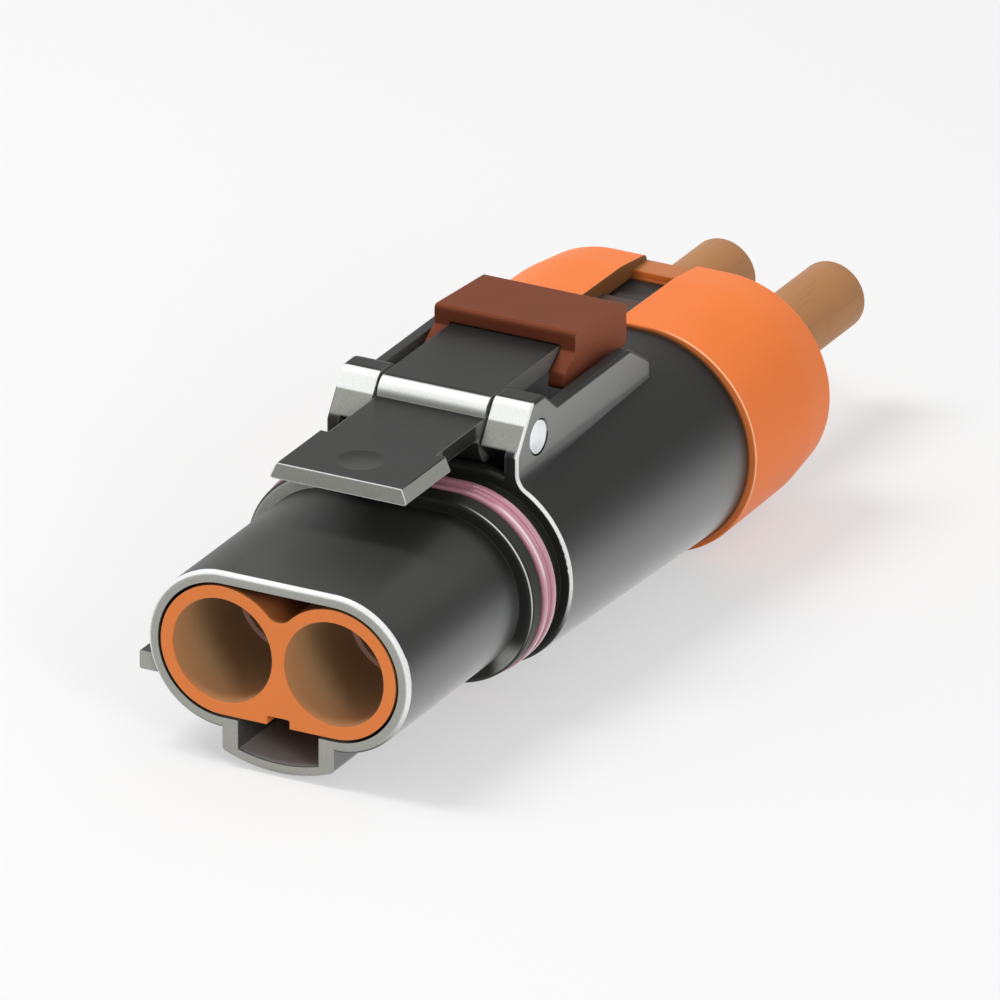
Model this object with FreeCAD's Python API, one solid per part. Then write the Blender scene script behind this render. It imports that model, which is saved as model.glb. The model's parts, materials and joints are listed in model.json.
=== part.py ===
"""Two-pole high-voltage power plug, cable side, in millimetres.

The origin is the centre of the mating face, midway between the two cells. +X is to the right seen from
the mating side, +Y runs back to the cables and +Z is up, the side of the latch. Most pieces share one
outline, a slot: two half circles whose centres are the two cells' axes, joined by flats above and below.
Radii of such a piece are distances from the line that joins the two axes.
"""

import FreeCAD
import Part

import math
import os

V = FreeCAD.Vector

# Mating pin and cable
PIN_R = 4.0
CONDUCTOR_R = 2.8
INSULATION_R = 3.65
BRAID_R = 4.05
CABLE_R = 4.8
CABLE_OUT = 29.5

# Sections, built outwards from the pin
CONTACT_WALL = 1.8
SPRING_SLEEVE_WALL = 0.3
SLIT_WIDTH = 0.7
CELL_GAP = 0.35
FINGER_GUARD = 0.7
TUBE_WALL = 1.7
CELL_WEB = 1.7
SHELL_GAP = 0.4
SHELL_WALL = 1.55
NECK_WALL = 1.35
SLEEVE_WALL = 1.05
SEAL_HEIGHT = 1.3
SEAL_LIP = 0.45
FLANGE_BELOW_SEAL = 0.3
BODY_OVER_SEAL = 0.6
BODY_DRAFT = 1.4
CAVITY_OVER_NECK = 0.5
SEAL_CELL_STEP = 0.4
SPIGOT_WALL = 1.2
CAP_WALL = 2.8
CAP_WIDER = 0.5
CAP_DRAFT = 1.1
SEAL_LIP_ROUND = 0.35
SEAL_CORE_GAP = 0.5
RIB_CREST = 0.25
FERRULE_WALL = 0.35
CRIMP_WALL = 0.45
CRIMP_COLLAR = 1.5
FIT = 0.05
PLAY = 0.1
EDGE = 0.3
CORNER = 0.8
RIM_ROUND = 0.75
MOUTH_ROUND = 0.5
COLLAR_CLEAR = 0.2
BARREL_STEP = 1.5
PLATE_WIDER = 0.7
CAN_ROUND = 1.0
PUSHER_WALL = 1.4
CAP_SWELL = 0.2
CAP_SWELL_ROUND = 12.0
CAP_END_ROUND = 0.9
OVERLAP = 1.0

# Lengths along the plug
CELL_DEPTH = 17.5
PIN_DEPTH = 19.0
NOSE_LENGTH = 9.0
COLLAR_THICK = 2.0
CONTACT_BODY = 11.0
CONTACT_FLOOR = 3.0
BARREL_LENGTH = 17.0
SHELL_LENGTH = 29.5
FLANGE_THICK = 2.8
SEAL_WIDTH = 3.2
COLLAR_LENGTH = 2.7
NECK_LAP = 1.3
FRONT_WALL = 2.0
BODY_LENGTH = 45.9
SEAL_CELL_FROM_SHOULDER = 6.8
CAP_LENGTH = 23.2
CAP_END_WALL = 3.8
HOUSING_FLANGE = 2.5
HOUSING_TAIL = 17.0
RETAINER_PLATE = 2.0
CAN_WALL = 0.5
CAN_LENGTH = 24.6
CABLE_SEAL_LENGTH = 12.5
CABLE_SEAL_RIBS = 3
CAP_TAPER = 7.0
FERRULE_LENGTH = 7.0
FOLD_BEFORE_CAN_END = 2.0
FOLD_THICK = 0.4
CONTACT_SETBACK = 0.3
SPRING_SLEEVE_SETBACK = 0.6
WINDOW_MARGIN = 1.2
WINDOW_HALF = 0.6
WINDOWS = 8

# Key channel below the shell, side key rib and keyway of the inner housing
LUG_HALF = 8.0
LUG_DEPTH = 4.4
LUG_CROWN = 1.6
LUG_ROUND = 0.7
CHANNEL_HALF = 5.8
CHANNEL_FLOOR = 2.0
CHANNEL_CROWN = 0.85
KEYWAY_HALF = 1.65
KEYWAY_DEPTH = 1.2
RIB_OUT = 1.7
RIB_BELOW = 2.8
RIB_WIDTH = 2.5
RIB_LENGTH = 14.0
RIB_SETBACK = 0.8
RIB_ROUND = 0.4
WAIST_FILLET = 2.15

# Latch
PIVOT_BACK = 5.9
PIVOT_RISE = 3.2
PIVOT_PIN_R = 2.5
HUB_R = 5.0
HUB_FLAT = 3.4
PIN_RUN = 0.06
ARM_HALF = 7.8
HINGE_SLIT = 0.5
EAR_HALF = 13.8
RAIL_WALL = 1.8
WELL_FLOOR_WALL = 1.7
WELL_GAP = 0.8
EAR_CREST = 0.2
EAR_LEAN_FROM = 0.8
EAR_LEAN_TO = 1.7
EAR_CREST_BACK = 1.7
EAR_CREST_ROUND = 1.8
EAR_CHIN = 0.6
KNUCKLE_SETBACK = 2.0
EAR_FRONT_ROUND = 0.5
EAR_FOOT_FILLET = 2.5
RAIL_DROP = 2.5
RAIL_FALL = 5.4
RAIL_END_DROP = 6.0
RAIL_ROUND = 2.0
FRONT_ARM_THICK = 2.1
FRONT_ARM_RISE = 2.6
FRONT_ARM_REACH = 28.3
PADDLE_HALF = 9.0
PADDLE_LENGTH = 12.0
PADDLE_FLARE = 0.9
PADDLE_BEVEL = 0.4
DISH_R = 14.0
DISH_DEPTH = 0.35
NOSE_REACH = 3.3
NOSE_ROUND = 2.3
HOOK_HALF = 4.0
HOOK_DEPTH = 1.8
HOOK_FROM = 4.0
HOOK_TIP_FROM = 7.2
HOOK_TIP_TO = 8.6
REAR_ARM_THICK = 2.6
REAR_ARM_REACH = 23.7
LOCK_GAP = 0.25
LOCK_LEG = 2.15
LOCK_LENGTH = 14.0
LOCK_BACK = 30.7
LOCK_TOP = 1.0
LOCK_CREST = 1.0
LOCK_DROP = 4.6
LOCK_REACH = 3.6
LOCK_LIP = 1.0
LOCK_LIP_REACH = 1.2
LOCK_WALL = 1.4
LOCK_BROW = 0.6
LOCK_SLOPE = 2.6
SPRING_R = 2.0
SPRING_WIRE_R = 0.3
SPRING_TURNS = 5
SPRING_BACK = 12.7
SEAT_BOSS_R = 1.4
SEAT_BOSS = 0.9

# Snap of the rear cap
SNAP_HALF = 2.6
SNAP_HEIGHT = 0.8
SNAP_WINDOW = 8.8
SNAP_WINDOW_BACK = 10.7
SNAP_TOP = 1.4
SNAP_RAMP = 3.3
SNAP_ROUND = 0.2
NOTCH_HALF = 3.9
NOTCH_DEPTH = 1.9

# Radii that follow
CONTACT_R = PIN_R + CONTACT_WALL
SPRING_SLEEVE_R = CONTACT_R + SPRING_SLEEVE_WALL
NOSE_BORE_R = SPRING_SLEEVE_R + CELL_GAP
CELL_R = NOSE_BORE_R + FINGER_GUARD
TUBE_R = CELL_R + TUBE_WALL
HALF_PITCH = CELL_R + CELL_WEB / 2
CELL_REAR_R = CELL_R - FIT
COLLAR_R = CELL_REAR_R - COLLAR_CLEAR
BARREL_R = CONTACT_R - BARREL_STEP
SHELL_IN_R = TUBE_R + SHELL_GAP
SHELL_R = SHELL_IN_R + SHELL_WALL
NECK_R = SHELL_IN_R + NECK_WALL
SLEEVE_IN_R = NECK_R + FIT
SLEEVE_R = SLEEVE_IN_R + SLEEVE_WALL
SEAL_R = SLEEVE_R + SEAL_HEIGHT
FLANGE_R = SEAL_R - FLANGE_BELOW_SEAL
RIM_R = SEAL_R + BODY_OVER_SEAL
BODY_REAR_R = RIM_R + BODY_DRAFT
CAVITY_R = NECK_R + CAVITY_OVER_NECK
SEAL_CELL_R = CAVITY_R + SEAL_CELL_STEP
SPIGOT_R = SEAL_CELL_R + SPIGOT_WALL
CAP_IN_R = SPIGOT_R + PLAY * 2
CAP_R = CAP_IN_R + CAP_WALL
CHANNEL_Z = -(SHELL_R + LUG_DEPTH - CHANNEL_FLOOR)
SEALING_LAND_R = SLEEVE_R + EDGE
FOLD_INNER_R = BRAID_R + FERRULE_WALL
FOLD_R = FOLD_INNER_R + BRAID_R - INSULATION_R - PLAY
CRIMP_R = FOLD_R + CRIMP_WALL

# Stations along Y that follow
CONTACT_Y = CELL_DEPTH + CONTACT_SETBACK
PIN_END_Y = CONTACT_Y + PIN_DEPTH
CONDUCTOR_Y = PIN_END_Y + CONTACT_FLOOR
COLLAR_STOP_Y = CELL_DEPTH + NOSE_LENGTH
COLLAR_BACK_Y = COLLAR_STOP_Y + PLAY + COLLAR_THICK
CONTACT_BODY_END_Y = COLLAR_BACK_Y + CONTACT_BODY
BARREL_END_Y = CONTACT_BODY_END_Y + BARREL_LENGTH
FLANGE_BACK_Y = SHELL_LENGTH + FLANGE_THICK
COLLAR_FRONT_Y = FLANGE_BACK_Y + SEAL_WIDTH + PLAY * 2
BODY_Y = COLLAR_FRONT_Y + COLLAR_LENGTH
NECK_FRONT_Y = FLANGE_BACK_Y - NECK_LAP
CAVITY_Y = BODY_Y + FRONT_WALL
SHOULDER_Y = BODY_Y + BODY_LENGTH
SEAL_CELL_Y = SHOULDER_Y - SEAL_CELL_FROM_SHOULDER
CAP_END_Y = SHOULDER_Y + CAP_LENGTH
SPIGOT_END_Y = CAP_END_Y - CAP_END_WALL - PLAY * 2
HOUSING_END_Y = CAVITY_Y + HOUSING_FLANGE + HOUSING_TAIL
CAN_Y = CAVITY_Y + HOUSING_FLANGE
CAN_END_Y = CAN_Y + CAN_LENGTH
FOLD_Y = CAN_END_Y - FOLD_BEFORE_CAN_END
FERRULE_END_Y = FOLD_Y + FERRULE_LENGTH
CABLE_SEAL_END_Y = SEAL_CELL_Y + CABLE_SEAL_LENGTH
CABLE_END_Y = CAP_END_Y + CABLE_OUT
RETAINER_END_Y = HOUSING_END_Y + RETAINER_PLATE

# Latch stations that follow
PIVOT_Y = BODY_Y + PIVOT_BACK
PIVOT_Z = RIM_R + PIVOT_RISE
HUB_TOP_Z = PIVOT_Z + HUB_R
WELL_FLOOR_Z = CAVITY_R + WELL_FLOOR_WALL
EAR_FOOT_Z = CAVITY_R + CAN_WALL
KNUCKLE_IN = ARM_HALF + HINGE_SLIT
PADDLE_Y = PIVOT_Y - FRONT_ARM_REACH
PADDLE_Z = PIVOT_Z + FRONT_ARM_RISE
REAR_ARM_Y = PIVOT_Y + REAR_ARM_REACH
REAR_ARM_Z = HUB_TOP_Z - REAR_ARM_THICK
LOCK_END_Y = PIVOT_Y + LOCK_BACK
LOCK_FRONT_Y = LOCK_END_Y - LOCK_LENGTH
SPRING_Y = PIVOT_Y + SPRING_BACK
WELL_FRONT_Y = PIVOT_Y - math.sqrt(HUB_R ** 2 - HUB_FLAT ** 2) - WELL_GAP
WELL_BACK_Y = LOCK_END_Y + WELL_GAP * 2
EAR_END_Y = LOCK_END_Y - PLAY * 2
SNAP_Y = SHOULDER_Y + SNAP_WINDOW_BACK

SIDES = {"left": -1, "right": 1}


def outline(corners, place):
    """Face inside the given corners; a corner's third number is its fillet radius."""
    joints = []
    for i, corner in enumerate(corners):
        here = V(corner[0], corner[1], 0)
        before = V(*corners[i - 1][:2], 0)
        after = V(*corners[(i + 1) % len(corners)][:2], 0)
        radius = corner[2] if len(corner) > 2 else 0
        if not radius:
            joints.append([here])
            continue
        back = (before - here).normalize()
        ahead = (after - here).normalize()
        half = back.getAngle(ahead) / 2
        reach = radius / math.tan(half)
        middle = here + (back + ahead).normalize() * (radius / math.sin(half) - radius)
        joints.append([here + back * reach, middle, here + ahead * reach])
    edges = []
    for i, joint in enumerate(joints):
        points = [place(p.x, p.y) for p in joint]
        if len(points) == 3:
            edges.append(Part.Arc(*points).toShape())
        start = joints[(i + 1) % len(joints)][0]
        start = place(start.x, start.y)
        if points[-1].distanceToPoint(start) > 1e-6:
            edges.append(Part.LineSegment(points[-1], start).toShape())
    return Part.Face(Part.Wire(edges))


def round_slot(section, half_pitch=None):
    """Carries a section of (y, radius) corners round a slot and returns the solid."""
    half = HALF_PITCH if half_pitch is None else half_pitch
    face = outline(section, lambda y, r: V(0, y, r))
    top = face.translated(V(-half, 0, 0)).extrude(V(2 * half, 0, 0))
    bottom = top.mirror(V(0, 0, 0), V(0, 0, 1))
    right = face.translated(V(half, 0, 0)).revolve(V(half, 0, 0), V(0, 1, 0), 180)
    left = right.mirror(V(0, 0, 0), V(1, 0, 0))
    return right.fuse([left, top, bottom]).removeSplitter()


def slot_block(radius, start, end):
    return round_slot([(start, 0), (start, radius), (end, radius), (end, 0)])


def turned(section, x=0.0):
    """Turns a section of (y, radius) corners about a line along Y."""
    face = outline(section, lambda y, r: V(x, y, r))
    return face.revolve(V(x, 0, 0), V(0, 1, 0), 360)


def round_bar(radius, start, end, x=0.0):
    return Part.makeCylinder(radius, end - start, V(x, start, 0), V(0, 1, 0))


def side_profile(corners, low_x, high_x):
    """Extrudes a side view of (y, z) corners between two places along X."""
    return outline(corners, lambda y, z: V(low_x, y, z)).extrude(V(high_x - low_x, 0, 0))


def end_profile(corners, start, end):
    """Extrudes an end view of (x, z) corners between two places along Y."""
    return outline(corners, lambda x, z: V(x, start, z)).extrude(V(0, end - start, 0))


def block(low, high):
    return Part.makeBox(high[0] - low[0], high[1] - low[1], high[2] - low[2], V(*low))


def mirrored_x(shape):
    return shape.mirror(V(0, 0, 0), V(1, 0, 0))


# Mating end
def arched(half, edge_z, crown, top_z):
    """Face at the mating plane: upright sides, a flat top and a bottom that bulges down by its crown."""
    left = V(-half, 0, edge_z)
    right = V(half, 0, edge_z)
    top_right = V(half, 0, top_z)
    top_left = V(-half, 0, top_z)
    return Part.Face(Part.Wire([
        Part.LineSegment(top_left, left).toShape(),
        Part.Arc(left, V(0, 0, edge_z - crown), right).toShape(),
        Part.LineSegment(right, top_right).toShape(),
        Part.LineSegment(top_right, top_left).toShape(),
    ]))


def front_shell():
    """Shroud with its rear flange, the sleeve that carries the seal, the key channel and the side key rib."""
    shell = round_slot([
        (0, SHELL_IN_R),
        (0, SHELL_R, RIM_ROUND),
        (SHELL_LENGTH, SHELL_R),
        (SHELL_LENGTH, FLANGE_R, EDGE * 2),
        (FLANGE_BACK_Y, FLANGE_R, EDGE),
        (FLANGE_BACK_Y, SLEEVE_R),
        (COLLAR_FRONT_Y - PLAY, SLEEVE_R),
        (COLLAR_FRONT_Y - PLAY, SLEEVE_IN_R),
        (NECK_FRONT_Y - PLAY, SLEEVE_IN_R),
        (NECK_FRONT_Y - PLAY, SHELL_IN_R),
    ])
    edge_z = LUG_CROWN - SHELL_R - LUG_DEPTH
    lug = arched(LUG_HALF, edge_z, LUG_CROWN, -(SHELL_IN_R + EDGE))
    lug = lug.extrude(V(0, FLANGE_BACK_Y, 0))
    lug = lug.makeFillet(LUG_ROUND, [e for e in lug.Edges if abs(e.CenterOfMass.z - edge_z) < 0.01])
    lug = lug.cut(slot_block(SLEEVE_IN_R, NECK_FRONT_Y - PLAY, FLANGE_BACK_Y + OVERLAP))
    rib_x = -(HALF_PITCH + SHELL_R + RIB_OUT)
    rib = block(
        (rib_x, RIB_SETBACK, -RIB_BELOW - RIB_WIDTH),
        (-(HALF_PITCH + SHELL_R - OVERLAP), RIB_SETBACK + RIB_LENGTH, -RIB_BELOW),
    )
    rib = rib.makeFillet(RIB_ROUND, [e for e in rib.Edges if abs(e.CenterOfMass.x - rib_x) < 0.01])
    channel = arched(CHANNEL_HALF, CHANNEL_Z, CHANNEL_CROWN, -TUBE_R)
    channel = channel.extrude(V(0, SHELL_LENGTH, 0))
    return shell.fuse([lug, rib]).cut(channel).removeSplitter()


def interface_seal():
    """Two-lipped rubber ring on the shell's sleeve, held between the flange and the body's collar."""
    start = FLANGE_BACK_Y + PLAY
    lip = SEAL_WIDTH / 3
    groove_r = SEAL_R - SEAL_LIP
    return round_slot([
        (start, SLEEVE_R),
        (start, SEAL_R, SEAL_LIP_ROUND),
        (start + lip, SEAL_R, SEAL_LIP_ROUND),
        (start + lip, groove_r),
        (start + 2 * lip, groove_r),
        (start + 2 * lip, SEAL_R, SEAL_LIP_ROUND),
        (start + SEAL_WIDTH, SEAL_R, SEAL_LIP_ROUND),
        (start + SEAL_WIDTH, SLEEVE_R),
    ])


def twin_tube(radius, fillet, start, end):
    """Two tubes side by side: flat below between their axes, waisted above with a fillet."""
    fillet_z = math.sqrt((radius + fillet) ** 2 - HALF_PITCH ** 2)
    touch = radius / (radius + fillet)
    touch_x = HALF_PITCH * (1 - touch)
    touch_z = fillet_z * touch
    right_touch = V(touch_x, start, touch_z)
    left_touch = V(-touch_x, start, touch_z)
    right_low = V(HALF_PITCH, start, -radius)
    left_low = V(-HALF_PITCH, start, -radius)
    edges = [
        Part.LineSegment(left_low, right_low).toShape(),
        Part.Arc(right_low, V(HALF_PITCH + radius, start, 0), right_touch).toShape(),
        Part.Arc(right_touch, V(0, start, fillet_z - fillet), left_touch).toShape(),
        Part.Arc(left_touch, V(-HALF_PITCH - radius, start, 0), left_low).toShape(),
    ]
    return Part.Face(Part.Wire(edges)).extrude(V(0, end - start, 0))


def inner_housing():
    """Orange insulator: two finger-safe cells, a keyway below and the flange that seats in the body."""
    housing = twin_tube(TUBE_R, WAIST_FILLET, 0, HOUSING_END_Y)
    housing = housing.fuse(slot_block(CAVITY_R - PLAY, CAVITY_Y, CAVITY_Y + HOUSING_FLANGE))
    for side in SIDES.values():
        housing = housing.cut(turned([
            (-OVERLAP, 0),
            (-OVERLAP, CELL_R),
            (CELL_DEPTH, CELL_R),
            (CELL_DEPTH, NOSE_BORE_R),
            (COLLAR_STOP_Y, NOSE_BORE_R),
            (COLLAR_STOP_Y, CELL_REAR_R),
            (HOUSING_END_Y + OVERLAP, CELL_REAR_R),
            (HOUSING_END_Y + OVERLAP, 0),
        ], side * HALF_PITCH))
    keyway = end_profile(
        [(-KEYWAY_HALF, -TUBE_R - OVERLAP), (KEYWAY_HALF, -TUBE_R - OVERLAP),
         (KEYWAY_HALF, -TUBE_R + KEYWAY_DEPTH, EDGE), (-KEYWAY_HALF, -TUBE_R + KEYWAY_DEPTH, EDGE)],
        -OVERLAP, SHELL_LENGTH,
    )
    return housing.cut(keyway).removeSplitter()


# Contacts
def contact(x):
    """Slotted socket, collar that stops in the housing, and crimp barrel."""
    socket = turned([
        (CONTACT_Y, PIN_R + MOUTH_ROUND),
        (CONTACT_Y, CONTACT_R, MOUTH_ROUND),
        (COLLAR_STOP_Y + PLAY, CONTACT_R),
        (COLLAR_STOP_Y + PLAY, COLLAR_R),
        (COLLAR_BACK_Y, COLLAR_R),
        (COLLAR_BACK_Y, CONTACT_R),
        (CONTACT_BODY_END_Y, CONTACT_R),
        (CONTACT_BODY_END_Y + BARREL_STEP, BARREL_R),
        (BARREL_END_Y, BARREL_R),
        (BARREL_END_Y, CONDUCTOR_R),
        (CONDUCTOR_Y, CONDUCTOR_R),
        (CONDUCTOR_Y, 0),
        (PIN_END_Y, 0),
        (PIN_END_Y, PIN_R),
        (CONTACT_Y + MOUTH_ROUND, PIN_R),
    ], x)
    slit_half = SLIT_WIDTH / 2
    slit = block((-COLLAR_R, CONTACT_Y - OVERLAP, -slit_half), (COLLAR_R, COLLAR_STOP_Y, slit_half))
    for turn in (45, 135):
        cut = slit.copy()
        cut.rotate(V(0, 0, 0), V(0, 1, 0), turn)
        socket = socket.cut(cut.translated(V(x, 0, 0)))
    return socket


def over_spring(x):
    """Steel sleeve with windows that presses the socket's fingers onto the pin."""
    start = CONTACT_Y + SPRING_SLEEVE_SETBACK
    end = COLLAR_STOP_Y - PLAY * 2
    sleeve = turned([
        (start, CONTACT_R), (start, SPRING_SLEEVE_R), (end, SPRING_SLEEVE_R), (end, CONTACT_R),
    ], x)
    window = block(
        (0, start + WINDOW_MARGIN, -WINDOW_HALF),
        (SPRING_SLEEVE_R + OVERLAP, end - WINDOW_MARGIN, WINDOW_HALF),
    )
    for i in range(WINDOWS):
        cut = window.copy()
        cut.rotate(V(0, 0, 0), V(0, 1, 0), 360 * (i + 0.5) / WINDOWS)
        sleeve = sleeve.cut(cut.translated(V(x, 0, 0)))
    return sleeve


def contact_retainer():
    """Twin sleeve whose front edges lock the contacts' collars; its plate sits behind the housing."""
    plate_start = HOUSING_END_Y + PLAY
    retainer = slot_block(TUBE_R + PLATE_WIDER, plate_start, RETAINER_END_Y)
    for side in SIDES.values():
        retainer = retainer.fuse(
            round_bar(CELL_REAR_R - PLAY, COLLAR_BACK_Y + PLAY, RETAINER_END_Y, side * HALF_PITCH)
        )
    for side in SIDES.values():
        retainer = retainer.cut(
            round_bar(CONTACT_R + PLAY, COLLAR_BACK_Y, RETAINER_END_Y + OVERLAP, side * HALF_PITCH)
        )
    return retainer.removeSplitter()


# Cables and their screens
def jacket(x):
    start = FERRULE_END_Y + OVERLAP
    return turned([
        (start, BRAID_R), (start, CABLE_R), (CABLE_END_Y, CABLE_R), (CABLE_END_Y, BRAID_R),
    ], x)


def braid(x):
    """Screen braid, folded back over the inner ferrule at its front end."""
    return turned([
        (FOLD_Y, INSULATION_R),
        (FOLD_Y, FOLD_R, EDGE),
        (FERRULE_END_Y - FOLD_THICK, FOLD_R),
        (FERRULE_END_Y - FOLD_THICK, FOLD_INNER_R),
        (FOLD_Y + FOLD_THICK, FOLD_INNER_R),
        (FOLD_Y + FOLD_THICK, BRAID_R),
        (CABLE_END_Y, BRAID_R),
        (CABLE_END_Y, INSULATION_R),
    ], x)


def inner_ferrule(x):
    start = FOLD_Y + FOLD_THICK
    return turned([
        (start, BRAID_R), (start, FOLD_INNER_R), (FERRULE_END_Y, FOLD_INNER_R), (FERRULE_END_Y, BRAID_R),
    ], x)


def outer_ferrule(x):
    """Crimped sleeve whose front collar bears on the shield can's rear plate."""
    start = FOLD_Y + PLAY * 2
    bearing = CAN_END_Y - CAN_WALL
    return turned([
        (start, FOLD_R),
        (start, FOLD_R + CRIMP_COLLAR),
        (bearing, FOLD_R + CRIMP_COLLAR),
        (bearing, CRIMP_R),
        (FERRULE_END_Y, CRIMP_R, CRIMP_WALL / 2),
        (FERRULE_END_Y, FOLD_R),
    ], x)


def insulation(x):
    return turned([
        (HOUSING_END_Y, CONDUCTOR_R),
        (HOUSING_END_Y, INSULATION_R),
        (CABLE_END_Y, INSULATION_R),
        (CABLE_END_Y, CONDUCTOR_R),
    ], x)


def conductor(x):
    return round_bar(CONDUCTOR_R, CONDUCTOR_Y + MOUTH_ROUND, CABLE_END_Y, x)


def shield_can():
    """Deep-drawn screen behind the housing's flange, with a hole for each ferrule."""
    outer = CAVITY_R - PLAY
    can = round_slot([
        (CAN_Y, outer - CAN_WALL),
        (CAN_Y, outer),
        (CAN_END_Y, outer, CAN_ROUND),
        (CAN_END_Y, 0),
        (CAN_END_Y - CAN_WALL, 0),
        (CAN_END_Y - CAN_WALL, outer - CAN_WALL, CAN_ROUND - CAN_WALL),
    ])
    for side in SIDES.values():
        can = can.cut(round_bar(CRIMP_R + FIT, CAN_END_Y - OVERLAP, CAN_END_Y + OVERLAP, side * HALF_PITCH))
    return can


# Body
def cross_bar(radius, half):
    """Round bar along the latch's pivot axis, half to each side of the middle."""
    return Part.makeCylinder(radius, 2 * half, V(-half, PIVOT_Y, PIVOT_Z), V(1, 0, 0))


def ear_foot():
    """Hollow blend between the ear's outer wall and the round hull, seen from the front."""
    side = EAR_HALF - HALF_PITCH
    centre_x = EAR_HALF + EAR_FOOT_FILLET
    centre_z = math.sqrt((RIM_R + EAR_FOOT_FILLET) ** 2 - (side + EAR_FOOT_FILLET) ** 2)
    share = RIM_R / (RIM_R + EAR_FOOT_FILLET)
    low_x = HALF_PITCH + (side + EAR_FOOT_FILLET) * share
    low_z = centre_z * share
    turn = (math.pi + math.atan2(low_z - centre_z, low_x - centre_x) + 2 * math.pi) / 2
    middle_x = centre_x + EAR_FOOT_FILLET * math.cos(turn)
    middle_z = centre_z + EAR_FOOT_FILLET * math.sin(turn)
    middle = V(middle_x, BODY_Y, middle_z)
    top = V(EAR_HALF, BODY_Y, centre_z)
    low = V(low_x, BODY_Y, low_z)
    heel = V(EAR_HALF - RAIL_WALL, BODY_Y, low_z - OVERLAP)
    crown = V(EAR_HALF - RAIL_WALL, BODY_Y, centre_z)
    blend = Part.Face(Part.Wire([
        Part.Arc(top, middle, low).toShape(),
        Part.LineSegment(low, heel).toShape(),
        Part.LineSegment(heel, crown).toShape(),
        Part.LineSegment(crown, top).toShape(),
    ]))
    return blend.extrude(V(0, EAR_END_Y - BODY_Y, 0))


def ear():
    """Right latch ear: a wall that guards the rear arm, and the knuckle inside it that holds the pin."""
    lean_z = PIVOT_Z - EAR_LEAN_FROM
    crest_y = PIVOT_Y - EAR_LEAN_TO
    crest_z = HUB_TOP_Z + EAR_CREST
    chin_z = lean_z + EAR_CHIN
    chin_y = BODY_Y + (crest_y - BODY_Y) * (chin_z - lean_z) / (crest_z - lean_z)
    knuckle = side_profile([
        (chin_y, chin_z, EDGE),
        (crest_y, crest_z, EAR_CREST_ROUND),
        (PIVOT_Y + EAR_CREST_BACK, crest_z, EAR_CREST_ROUND),
        (PIVOT_Y + HUB_R, HUB_TOP_Z - RAIL_DROP + EDGE, CORNER),
        (PIVOT_Y + HUB_R, EAR_FOOT_Z),
        (PIVOT_Y - KNUCKLE_SETBACK, EAR_FOOT_Z),
        (PIVOT_Y - KNUCKLE_SETBACK, PIVOT_Z - HUB_FLAT, CORNER),
    ], KNUCKLE_IN, EAR_HALF - RAIL_WALL / 2)
    wall = side_profile([
        (BODY_Y, EAR_FOOT_Z),
        (BODY_Y, lean_z, CORNER),
        (crest_y, crest_z, EAR_CREST_ROUND),
        (PIVOT_Y + EAR_CREST_BACK, crest_z, EAR_CREST_ROUND),
        (PIVOT_Y + HUB_R, HUB_TOP_Z - RAIL_DROP, CORNER),
        (EAR_END_Y - RAIL_FALL, HUB_TOP_Z - RAIL_DROP, RAIL_ROUND),
        (EAR_END_Y, HUB_TOP_Z - RAIL_END_DROP, CORNER),
        (EAR_END_Y, EAR_FOOT_Z),
    ], EAR_HALF - RAIL_WALL, EAR_HALF)
    wall = wall.fuse(ear_foot()).removeSplitter()
    rounded = []
    for edge in wall.Edges:
        middle = edge.CenterOfMass
        on_outside = abs(middle.x - EAR_HALF) < 0.01 and middle.y < EAR_END_Y - 0.01
        on_foot = abs(middle.y - BODY_Y) < 0.01 and middle.x > EAR_HALF + 0.01
        if (on_outside and middle.z > RIM_R) or (on_foot and middle.z > NECK_R):
            rounded.append(edge)
    return knuckle.fuse(wall.makeFillet(EAR_FRONT_ROUND, rounded))


def snap_tooth():
    """Tooth on top of the spigot: steep to the front, ramped to the rear."""
    foot = SPIGOT_R - SPIGOT_WALL / 2
    top = SPIGOT_R + SNAP_HEIGHT
    start = SNAP_Y + EDGE
    return side_profile([
        (start, foot),
        (start, top, SNAP_ROUND),
        (start + SNAP_TOP, top, SNAP_ROUND),
        (start + SNAP_TOP + SNAP_RAMP, SPIGOT_R),
        (start + SNAP_TOP + SNAP_RAMP, foot),
    ], -SNAP_HALF, SNAP_HALF)


def body_housing():
    """Main housing: neck and collar at the front, drafted hull, spigot for the cap, ears and latch well."""
    body = round_slot([
        (NECK_FRONT_Y, SHELL_IN_R),
        (NECK_FRONT_Y, NECK_R, EDGE),
        (COLLAR_FRONT_Y, NECK_R),
        (COLLAR_FRONT_Y, SEALING_LAND_R),
        (BODY_Y, SEALING_LAND_R),
        (BODY_Y, RIM_R, EAR_FRONT_ROUND),
        (SHOULDER_Y, BODY_REAR_R, EDGE),
        (SHOULDER_Y, SPIGOT_R),
        (SPIGOT_END_Y, SPIGOT_R, EDGE),
        (SPIGOT_END_Y, SEAL_CELL_R, EDGE),
        (SEAL_CELL_Y, SEAL_CELL_R),
        (SEAL_CELL_Y, CAVITY_R),
        (CAVITY_Y, CAVITY_R),
        (CAVITY_Y, SHELL_IN_R),
    ])
    inner_x = EAR_HALF - RAIL_WALL
    well = block(
        (-inner_x, WELL_FRONT_Y, WELL_FLOOR_Z),
        (inner_x, WELL_BACK_Y, HUB_TOP_Z + OVERLAP),
    )
    body = body.cut(well)
    right = ear()
    body = body.fuse([right, mirrored_x(right)])
    body = body.cut(cross_bar(PIVOT_PIN_R, EAR_HALF + OVERLAP))
    boss = Part.makeCylinder(SEAT_BOSS_R, SEAT_BOSS + EDGE, V(0, SPRING_Y, WELL_FLOOR_Z - EDGE))
    tooth = snap_tooth()
    lower_tooth = tooth.mirror(V(0, 0, 0), V(0, 0, 1))
    return body.fuse([boss, tooth, lower_tooth]).removeSplitter()


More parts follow.
